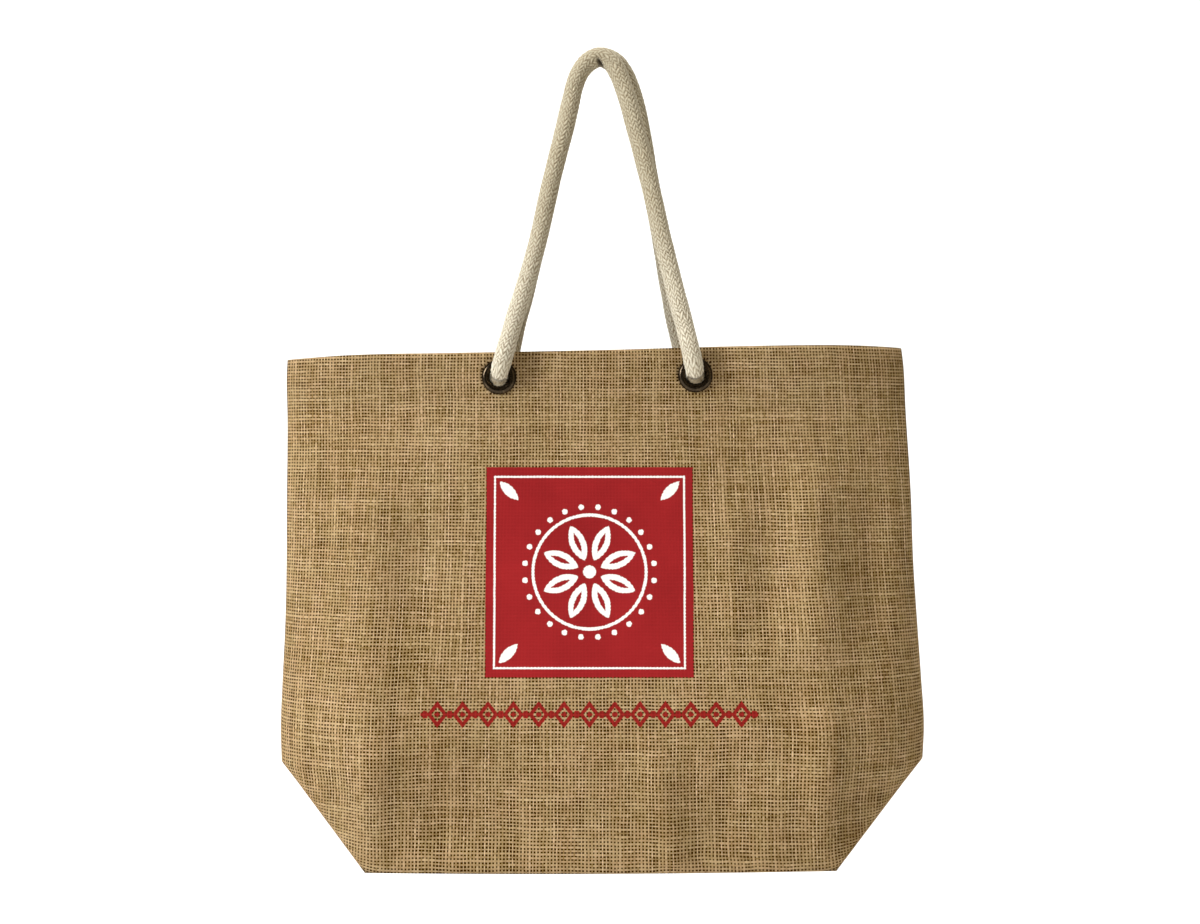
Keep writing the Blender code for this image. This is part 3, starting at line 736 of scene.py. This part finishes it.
def rope_cotton():
    graph = Graph("braided_cotton")
    place = graph.place()
    _, _, z = graph.split(place)
    soft = graph.noise_at(place, 60.0, 3.0) - 0.5
    cloud = graph.noise_at(place, 260.0, 2.0)
    fibre = graph.noise_at(place, 1500.0, 3.0, 0.7) - 0.5
    fleck = graph.noise_at(place, 700.0, 2.0, 0.6).smooth(0.56, 0.70)
    cotton_colour = graph.blend((0.5 + 1.2 * soft).clamped(), COTTON_DEEP, COTTON_PALE)
    # painted shade, darker and browner towards the top of the handles
    top_shade = (z + 0.06 * soft).smooth(*TOP_SHADE_Z)
    cotton_colour = graph.tinted(cotton_colour, graph.blend(top_shade, (1.0, 1.0, 1.0), COTTON_TOP_SHADE))
    # painted shade in the hollows between strands and where the rope is tucked into an eyelet, with
    # real dark flecks
    between = (graph.attribute("hollow_shade") ** 1.15) * (0.55 + 1.1 * cloud) + 0.3 * fleck
    colour = graph.blend(between.clamped(), cotton_colour, COTTON_SHADE_AND_FLECKS)
    colour = graph.shaded(colour, 1 + 0.3 * fibre)
    # painted shadow in the crease at the bend and along the tucked edges at the eyelets
    colour = graph.blend(graph.attribute("shadow"), colour, COTTON_FOLD_SHADOW)
    graph.bump(fibre + cloud, 0.3 * MM, 0.7)
    looks = {"Base Color": colour, "Roughness": 0.9, "Specular IOR Level": 0.15}
    return graph.surface({**looks, "Sheen Weight": 0.1})


def antique_brass():
    graph = Graph("antique_brass")
    place = graph.place()
    cloud = graph.noise_at(place, 160.0, 4.0, 0.6)
    speck = graph.noise_at(place, 900.0, 3.0, 0.7)
    worn = cloud.smooth(0.52, 0.75) * speck.smooth(0.35, 0.7)
    colour = graph.blend(worn, BRASS_DARK, BRASS_WORN)
    graph.bump(cloud + 0.3 * speck, 0.2 * MM, 0.25)
    return graph.surface({"Base Color": colour, "Roughness": 0.17 + 0.18 * speck, "Metallic": 1.0})


# --- ropes ---
def rim_points(side, face, near):
    """The rope's middle line out of an eyelet and over its rim, towards a point."""
    rim = (EYELET_FLANGE + EYELET_HOLE) / 2
    bend = FLANGE_HEIGHT + 2 * GAP + ROPE
    eyelet = Vector((EYELET_X[side], face * DEPTH_TOP, EYELET_Z[side]))
    out = Vector((0, face, 0))
    up = Vector((near[0] * MM - eyelet.x, 0, near[1] * MM - eyelet.z)).normalized()
    turn = [
        eyelet + out * (GAP + bend * math.cos(angle)) + up * (rim - bend * math.sin(angle))
        for angle in np.radians(RIM_DEGREES)
    ]
    return [eyelet + out * ROPE_END, eyelet - out * HEM / 2, *turn]


def handle_points(route, face):
    """The rope's middle line, from one eyelet over the bend to the other."""
    left = rim_points(0, face, route[0])
    right = rim_points(1, face, route[-1])
    foot_z, foot_y = left[-1].z, abs(left[-1].y)
    top_z = max(z for _, z in route) * MM
    middle = []
    for x, z in route:
        rise = (z * MM - foot_z) / (top_z - foot_z)
        middle.append(Vector((x * MM, face * mix(foot_y, HANDLE_TOP_DEPTH, rise), z * MM)))
    return left + middle + right[::-1]


def path_frames(path):
    """Two directions across the path at each point, turned as little as possible."""
    tangents = np.gradient(path, axis=0)
    tangents /= np.linalg.norm(tangents, axis=1)[:, None]
    side = Vector(tangents[0]).orthogonal().normalized()
    sides, ups = [], []
    for k, tangent in enumerate(tangents):
        tangent = Vector(tangent)
        if k:
            side = Vector(tangents[k - 1]).rotation_difference(tangent) @ side
            side = (side - tangent * side.dot(tangent)).normalized()
        sides.append(side)
        ups.append(tangent.cross(side))
    return np.array(sides), np.array(ups)


def handle_radius(path, step):
    """The rope's radius along a handle: fuller at the bend, and squeezed in the eyelets."""
    from_end = from_nearer_end(path, step)
    at_bend = ease(1 - np.hypot(path[:, 0], path[:, 2] - BEND_Z) / BEND_REACH)
    squeeze = ease(1 - (from_end - SQUEEZE_REACH) / SQUEEZE_FADE)
    return mix(mix(ROPE, ROPE_AT_BEND, at_bend), ROPE_IN_EYELET, squeeze)


def braid(skin, samples):
    """How high the braid stands at each point of a rope's rings, from 0 to 1.

    A strand of one family is on top where the numbers of the two strands there add up to 0 or 1
    by fours, and one of the other family where they add up to 2 or 3.
    """
    rings = len(skin)
    ring, point = np.meshgrid(np.arange(rings), np.arange(STRANDS * samples), indexing="ij")
    one = (point + ring) / samples + STRAND_WANDER * uneven(skin, STRAND_WANDER_LENGTH, seed=11.0)
    other = (point - ring) / samples + STRAND_WANDER * uneven(skin, STRAND_WANDER_LENGTH, seed=29.0)
    other += 4 * rings  # it stays above 0
    turn = (np.floor(one) + np.floor(other)) % 4
    one_on_top = turn < 2
    across = np.where(one_on_top, one, other) % 1
    along = np.where(one_on_top, other + np.floor(one), one + np.floor(other) - 2) % 4
    crown = np.sin(math.pi * across) ** STRAND_ROUND
    arch = np.sin(math.pi * np.clip(along / 2, 0, 1)) ** STRAND_ARCH
    return crown * (1 - STRAND_DIVE + STRAND_DIVE * arch)


def uneven(points, size, seed):
    """Smooth noise from -1 to 1 at each point."""
    shape = points.shape[:-1]
    flat = points.reshape(-1, 3) / size + seed
    return np.array([noise.noise(Vector(point)) for point in flat]).reshape(shape)


def crease(points, centres):
    """How deep the fold at a rope's bend is at each point, from 0 to 1."""
    (x0, z0), (x1, z1) = CREASE
    run = math.hypot(x1 - x0, z1 - z0)
    along_x, along_z = (x1 - x0) / run, (z1 - z0) / run
    dx, dz = points[..., 0] / MM - x0, points[..., 2] / MM - z0
    along = (dx * along_x + dz * along_z) / run
    aside = (dx * along_z - dz * along_x) * MM / CREASE_HALF
    faces_out = np.sign(centres[..., 1]) * (points[..., 1] - centres[..., 1]) / ROPE
    here = ease(along / CREASE_FADE) * ease((CREASE_OVERRUN - along) / CREASE_FADE)
    return np.exp(-(aside**2)) * here * ease((faces_out + CREASE_WRAP) / CREASE_WRAP)


def tuck_in(points, hollow_shade, shadow, path):
    """Press a handle's underside into its eyelets, below where it turns up, and paint its shade."""
    for side, end, onward in ((0, path[0], path[TUCK_LOOK]), (1, path[-1], path[-1 - TUCK_LOOK])):
        up = Vector(onward - end)
        up = Vector((up.x, 0, up.z)).normalized() * KNEE_UP
        face = np.sign(end[1])
        dx, dz = points[..., 0] - EYELET_X[side], points[..., 2] - EYELET_Z[side]
        far = np.hypot(dx - up.x, dz - up.z)
        below = dx * up.x + dz * up.z < 0
        near = np.hypot(dx, dz) < KNEE_REACH
        share = ease((far - KNEE_RADIUS) / KNEE_EDGE) * below * near
        proud = face * points[..., 1] - DEPTH_TOP
        points[..., 1] = face * (DEPTH_TOP + mix(proud, np.minimum(proud, KNEE_SEAT), share))
        # painted shadow along the tuck's edge and painted shade over the tucked part
        edge = 4 * share * (1 - share)
        np.maximum(shadow, KNEE_SHADOW * edge, out=shadow)
        np.maximum(hollow_shade, KNEE_HOLE_SHADE * share, out=hollow_shade)


def braided_tube(name, path, radius, samples, material, is_handle=False):
    """A braided rope along a path, its strands raised in the mesh."""
    sides, ups = path_frames(path)
    count = STRANDS * samples
    angles = np.arange(count) * 2 * math.pi / count
    around = (
        np.cos(angles)[None, :, None] * sides[:, None, :]
        + np.sin(angles)[None, :, None] * ups[:, None, :]
    )
    centres = np.repeat(path[:, None, :], count, axis=1)
    skin = centres + around * radius[:, None, None]
    height = braid(skin, samples)
    out = np.broadcast_to(radius[:, None], height.shape) - STRAND_RELIEF * (1 - height)
    out = out + ROPE_LUMP * uneven(skin, ROPE_LUMP_LENGTH, seed=3.0)
    # painted shade in the hollows between the strands
    hollow_shade = 1 - height
    shadow = np.zeros_like(hollow_shade)
    if is_handle:
        at_knee = ease(2 - 2 * from_nearer_end(path, STITCH / samples) / KNEE_LUMP_REACH)
        out = out + KNEE_LUMP * uneven(skin, KNEE_LUMP_LENGTH, seed=17.0) * at_knee[:, None]
        # the crease's depth is also painted as its shadow
        shadow = crease(skin, centres)
        out = out - CREASE_DEPTH * shadow
    points = centres + around * out[..., None]
    if is_handle:
        tuck_in(points, hollow_shade, shadow, path)
    piece = grid_piece(name, points, material, closed=True, capped=True)
    for key, values in (("hollow_shade", hollow_shade), ("shadow", shadow)):
        attribute = piece.data.attributes.new(key, "FLOAT", "POINT")
        attribute.data.foreach_set("value", values.ravel())
    return piece


def make_knot(place_name, side, face, material):
    """An overhand knot drawn tight against the washer, with the rope's cut end below it."""
    start = Vector((EYELET_X[side], face * (DEPTH_TOP + ROPE_END), EYELET_Z[side]))
    middle = start - Vector((0, face * (GAP + KNOT_HALF_DEPTH), KNOT_DROP))
    points = [start, middle + Vector((0, face * KNOT_ENTRY[0], KNOT_ENTRY[1]))]
    for angle in np.linspace(*KNOT_ANGLES, KNOT_POINTS):
        x = KNOT_UNIT * (math.sin(angle) + 2 * math.sin(2 * angle))
        z = KNOT_UNIT * (math.cos(angle) - 2 * math.cos(2 * angle))
        y = -face * KNOT_DEPTH * math.sin(3 * angle)
        points.append(middle + Vector((x, y, z)))
    for x, z in (TAIL_NECK, TAIL_FOOT):
        points.append(middle + Vector((x, 0, z)))
    path = smooth_path(points, STITCH / KNOT_SAMPLES)
    radius = np.full(len(path), KNOT_ROPE)
    return braided_tube("knot_rope_" + place_name, path, radius, KNOT_SAMPLES, material)


def make_handles(material):
    knots = {}
    for name, side, face in PLACES:
        knots[name] = make_knot(name, side, face, material)
        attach(knots[name], "root")
        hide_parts("knot_" + name)
    for name, route, face in (("front", FRONT_ROUTE, -1), ("back", BACK_ROUTE, 1)):
        step = STITCH / STRAND_SAMPLES
        path = smooth_path(handle_points(route, face), step)
        radius = handle_radius(path, step)
        rope = braided_tube("rope_" + name, path, radius, STRAND_SAMPLES, material, is_handle=True)
        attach(rope, "root")
        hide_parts("handle_" + name)


# --- the bag's cloth ---
def crowded(share):
    """Where a column stands between the middle (0) and a seam (-1 or 1)."""
    return mix(share, np.sin(share * math.pi / 2), COLUMN_CROWDING)


def slack(x, z, folds):
    """How far the folds of a panel push it outwards at a place."""
    out = np.zeros_like(x)
    for top_x, top_z, foot_x, foot_z, half_width, height in folds:
        down = (top_z * MM - z) / (top_z * MM - foot_z * MM)
        aside = (x / MM - mix(top_x, foot_x, down)) / half_width
        here = ease(down / FOLD_FADE) * ease((1 - down) / FOLD_FADE)
        out += height * np.exp(-(aside**2)) * here
    return out * FOLD_GAIN * MM


def small_relief(x, z, level, rise, face):
    """A panel's cockles, the ridge over its hem, and the dimples at its eyelets."""
    places = (x / COCKLE_SIZE[0], np.full_like(x, 5.0 * face), z / COCKLE_SIZE[1])
    points = np.stack(places, axis=-1)
    fade = ease(level / COCKLE_FADE[0]) * ease((2 - level) / COCKLE_FADE[1])
    cockle = uneven(points, 1.0, seed=0.37) * fade * rise
    ridge = np.exp(-(((level - HEM_SHARE) / HEM_RIDGE_HALF) ** 2)) * rise
    out = COCKLE * cockle + HEM_RIDGE * ridge
    for side in (0, 1):
        far = np.hypot(x - EYELET_X[side], z - EYELET_Z[side]) - EYELET_FLANGE
        out -= EYELET_DIMPLE * np.exp(-((np.maximum(far, 0) / EYELET_DIMPLE_REACH) ** 2))
    return out


def panel_grid(shares, levels, face, with_relief=True):
    """Points of a panel's outside, a row for each level and a column for each share."""
    level, share = np.meshgrid(levels, shares, indexing="ij")
    place = crowded(share)
    across = abs(place)
    right = share > 0
    down = np.minimum(level, 1.0)
    past = np.maximum(level - 1.0, 0.0)
    seam = np.where(right, smooth_value(SIDE_LEVELS, down, 2), -smooth_value(SIDE_LEVELS, down, 1))
    edge = mix(seam * MM, np.where(right, CORNER_X[1], -CORNER_X[0]), past)
    x = place * edge
    from_left = (place + 1) / 2
    z_top = smooth_value(TOP_EDGE, place) * MM
    z_seam = mix(*SEAM_FOOT_Z, from_left)
    z_foot = mix(*CORNER_Z, from_left) - FOOT_SAG * (1 - across**2)
    z = np.where(level <= 1, mix(z_top, z_seam, down), mix(z_seam, z_foot, past))
    inward = (edge - across * edge) / mix(ROUND_TOP, ROUND_LOW, ease(down))
    rise = (1 - (1 - np.clip(inward, 0.0, 1.0)) ** 2) ** ROUND_POWER
    upper = mix(DEPTH_TOP, DEPTH_SEAM_FOOT, ease((level - FLAT_TOP) / (1 - FLAT_TOP)))
    middle = np.where(level <= 1, upper, mix(DEPTH_SEAM_FOOT, DEPTH_FOOT, past))
    depth = mix(DEPTH_FOOT * past, middle, rise)
    push = slack(x, z, FRONT_FOLDS if face < 0 else BACK_FOLDS)
    foot_fade = np.where(push > 0, RIDGE_FADE, TROUGH_FADE)
    loose = ease((level - HEM_SHARE) / SLACK_FADE) * ease((2 - level) / foot_fade) * rise
    depth = depth + loose * push
    if with_relief:
        depth = depth + small_relief(x, z, level, rise, face)
    return np.stack([x, face * depth, z], axis=-1)


def gusset_grid(side, halves, levels):
    """Points of a boxed corner, from the front fold (-1) over the seam (0) to the back fold (1)."""
    turn = (-1, 1)[side]
    start = np.array([smooth_value(SIDE_LEVELS, 1.0, 1 + side) * MM, 0, SEAM_FOOT_Z[side]])
    end = np.array([CORNER_X[side] - turn * GUSSET_IN, 0, CORNER_Z[side] + GUSSET_UP])
    front = panel_grid(np.array([turn]), levels, -1, False)[:, 0]
    back = panel_grid(np.array([turn]), levels, 1, False)[:, 0]
    rows = []
    for k, level in enumerate(levels):
        past = level - 1.0
        seam = mix(start, end, past)
        row = []
        for half in halves:
            fold = back[k] if half > 0 else front[k]
            out = abs(half) ** mix(1, FOOT_POWER, past)
            x, z = mix(seam[0], fold[0], out), mix(seam[2], fold[2], out)
            row.append((x, mix(0, fold[1], abs(half)), z))
        rows.append(row)
    return np.array(rows)


def foot_grid(shares, halves):
    """Points of the foot, from the front fold (-1) to the back one (1)."""
    fold = panel_grid(shares, np.array([2.0]), -1, False)[0]
    rows = []
    for half in halves:
        up = 1 - abs(half) ** FOOT_POWER
        row = []
        for share, point in zip(shares, fold):
            side = int(share > 0)
            turn = (-1, 1)[side]
            rise = mix(FOOT_UP, CORNER_Z[side] + GUSSET_UP - point[2], abs(share) ** FOOT_END_POWER)
            middle_x = point[0] - turn * GUSSET_IN * abs(crowded(share)) ** 2
            row.append((mix(point[0], middle_x, up), DEPTH_FOOT * half, point[2] + rise * up))
        rows.append(row)
    return np.array(rows)


def yarn_counts(grid, first_row):
    """The yarns counted across a grid from its middle, and down it."""
    steps = np.diff(grid, axis=1)
    across = np.cumsum(np.hypot(steps[..., 0], steps[..., 1]), axis=1)
    across = np.concatenate([np.zeros((len(grid), 1)), across], axis=1)
    across -= across[:, [grid.shape[1] // 2]]
    drops = np.diff(grid, axis=0)
    share = np.linspace(0, 1, len(drops))[:, None]
    pitch = mix(WEFT_PITCH[0], WEFT_PITCH[1], share)
    down = np.cumsum(np.hypot(drops[..., 1], drops[..., 2]) / pitch, axis=0)
    down = np.concatenate([np.zeros((1, grid.shape[1])), down]) + first_row
    return across / WARP_PITCH, down


def panel_counts(grid, levels):
    """The yarns counted over a panel, so that the warp runs along both of its side seams."""
    first_row = (TOP_EDGE[-1][1] * MM - grid[0, :, 2]) / WEFT_PITCH[0]
    across, down = yarn_counts(grid * (1.0, PANEL_DEPTH_SHARE, 1.0), first_row)
    seam_rows = levels <= 1
    for half in (slice(0, across.shape[1] // 2), slice(across.shape[1] // 2, None)):
        reach = np.abs(across[:, half]).max(axis=1)
        reach[~seam_rows] = reach[seam_rows][-1]
        across[:, half] *= (reach[seam_rows].mean() / reach)[:, None]
    return across, down


def gusset_counts(grid):
    """The yarns counted over a boxed corner, in the plane of each of its halves."""
    points = np.stack([grid[..., 0], np.abs(grid[..., 1]), grid[..., 2]], axis=-1)
    middle = grid.shape[1] // 2
    start = points[0, middle]
    normal = np.cross(points[-1, 0] - start, points[-1, middle] - start)
    level = np.cross(normal, (0.0, 0.0, 1.0))
    level /= np.linalg.norm(level)
    slope = np.cross(normal, level)
    slope /= np.linalg.norm(slope)
    return (points - start) @ level / WARP_PITCH, (points - start) @ slope / WEFT_PITCH[1]


def add_patch(bm, uv_layer, grid, counts, material_index):
    rows = [[bm.verts.new(point) for point in row] for row in grid]
    for k in range(len(rows) - 1):
        for j in range(len(rows[0]) - 1):
            corners = ((k, j), (k + 1, j), (k + 1, j + 1), (k, j + 1))
            made = bm.faces.new([rows[a][b] for a, b in corners])
            made.material_index = material_index
            for loop, (a, b) in zip(made.loops, corners):
                loop[uv_layer].uv = (counts[0][a, b], counts[1][a, b])


def cut_eyelet_holes(bm):
    """Take the cloth out at each eyelet, and round the hole's edge."""
    for _, side, face in PLACES:
        x, z = EYELET_X[side], EYELET_Z[side]
        near = []
        for cell in bm.faces:
            middle = cell.calc_center_median()
            if middle.y * face > 0 and math.hypot(middle.x - x, middle.z - z) < CUT_RADIUS:
                near.append(cell)
        rim = {vertex for cell in near for vertex in cell.verts}
        bmesh.ops.delete(bm, geom=near, context="FACES")
        for vertex in rim:
            if vertex.is_valid and vertex.link_faces:
                scale = CUT_RADIUS / math.hypot(vertex.co.x - x, vertex.co.z - z)
                vertex.co.x = x + (vertex.co.x - x) * scale
                vertex.co.z = z + (vertex.co.z - z) * scale


def hem_foot(x):
    """How high the lower edge of the hem is at x."""
    share = x / MM / abs(SIDE_LEVELS[0][1 + int(x > 0)])
    top = float(smooth_value(TOP_EDGE, share)) * MM
    return mix(top, mix(*SEAM_FOOT_Z, (share + 1) / 2), HEM_SHARE + HEM_STEP / 2)


def make_cloth(front_material, material, inside):
    bm = bmesh.new()
    uv_layer = bm.loops.layers.uv.new("yarns")
    shares = np.linspace(-1, 1, COLUMNS + 1)
    levels = np.concatenate([np.linspace(0, 1, ROWS + 1), np.linspace(1, 2, GUSSET_ROWS + 1)[1:]])
    low = levels[levels >= 1]
    halves = np.linspace(-1, 1, 2 * GUSSET_COLUMNS + 1)
    for face in (-1, 1):
        grid = panel_grid(shares, levels, face)
        counts = panel_counts(grid, levels)
        if face > 0:
            grid = grid[:, ::-1]
            counts = (counts[0][:, ::-1] + BACK_YARNS, counts[1][:, ::-1])
        else:
            foot_counts = counts[1][-1]
        add_patch(bm, uv_layer, grid, counts, 0 if face < 0 else 1)
    for side in (1, 0):
        order = halves if side else halves[::-1]
        grid = gusset_grid(side, order, low)
        across, down = gusset_counts(grid)
        counts = (across + GUSSET_YARNS[0] * (side + 1), down + GUSSET_YARNS[1])
        add_patch(bm, uv_layer, grid, counts, 1)
    grid = foot_grid(shares, halves)
    add_patch(bm, uv_layer, grid, yarn_counts(grid, foot_counts), 1)
    bmesh.ops.remove_doubles(bm, verts=bm.verts, dist=WELD)
    bmesh.ops.recalc_face_normals(bm, faces=bm.faces)
    cut_eyelet_holes(bm)
    cloth = new_piece("bag_cloth", bm, [front_material, material, inside])
    layers = cloth.vertex_groups.new(name="layers")
    for vertex in cloth.data.vertices:
        in_hem = vertex.co.z > hem_foot(vertex.co.x)
        layers.add([vertex.index], 1.0 if in_hem else CLOTH / HEM, "REPLACE")
    solidify = cloth.modifiers.new("thickness", "SOLIDIFY")
    solidify.thickness = HEM
    solidify.offset = -1
    solidify.use_even_offset = True
    solidify.use_quality_normals = True
    solidify.vertex_group = layers.name
    solidify.material_offset = 2
    solidify.material_offset_rim = 1
    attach(cloth, "root")
    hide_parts("bag_body")


# --- eyelets ---
def turned_piece(name, profile, side, face, material):
    """A closed profile of radii and heights, turned about an eyelet's axis."""
    radius, height = np.array(profile).T
    rows = []
    for step in range(TURNED_STEPS):
        angle = 2 * math.pi * step / TURNED_STEPS
        x = EYELET_X[side] + radius * math.cos(angle)
        z = EYELET_Z[side] + radius * math.sin(angle)
        rows.append(np.stack([x, face * (DEPTH_TOP + height), z], axis=-1))
    piece = grid_piece(name, rows, material, closed=True, turned=True)
    piece.data.set_sharp_from_angle(angle=math.radians(SHARP_DEGREES))
    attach(piece, "root")
    return piece


def arc(middle, radius, height, count, start, end):
    """Points of an oval in the profile's plane, between two angles in degrees."""
    return [
        (middle[0] + radius * math.cos(angle), middle[1] + height * math.sin(angle))
        for angle in np.radians(np.linspace(start, end, count))
    ]


def eyelet_profile():
    """Over the domed flange, back under it, and round the barrel with its curled end."""
    middle = (EYELET_FLANGE + EYELET_HOLE) / 2
    half = (EYELET_FLANGE - EYELET_HOLE) / 2
    outer = arc((middle, GAP), half, FLANGE_HEIGHT, *FLANGE_ARC)
    half, height = half - EYELET_THICK, FLANGE_HEIGHT - EYELET_THICK
    inner = arc((middle, GAP), half, height, *FLANGE_UNDERSIDE_ARC)
    barrel = [(EYELET_BARREL, 0.0), (EYELET_BARREL, WASHER_FOOT)]
    curl = arc((EYELET_BARREL + CURL / 2, WASHER_FOOT - CURL / 4), CURL / 2, CURL / 2, *CURL_ARC)
    hole = [(EYELET_HOLE, WASHER_FOOT - CURL / 2), (EYELET_HOLE, -HEM / 2)]
    return outer + inner + barrel + curl + hole


def washer_profile():
    top = -(HEM + GAP)
    inner = EYELET_BARREL + GAP
    foot = top - WASHER_THICK
    return [
        (WASHER - WASHER_ROUND, top),
        (WASHER, top - WASHER_ROUND),
        (WASHER - WASHER_ROUND / 2, foot + WASHER_ROUND / 2),
        (WASHER - 2 * WASHER_ROUND, foot),
        (inner, foot),
        (inner, top),
    ]


def make_eyelets(material):
    for name, side, face in PLACES:
        ring = turned_piece("eyelet_ring_" + name, eyelet_profile(), side, face, material)
        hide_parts("eyelet_" + name)
        washer = turned_piece("washer_ring_" + name, washer_profile(), side, face, material)
        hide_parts("washer_" + name)


def main():
    make_camera()
    make_handles(rope_cotton())
    front = burlap("burlap_front", with_print=True)
    # the inside is the same burlap, darker by painted shade
    make_cloth(front, burlap("burlap"), burlap("burlap_inside", tone=0.9))
    make_eyelets(antique_brass())
    make_stage()
    make_light()


main()
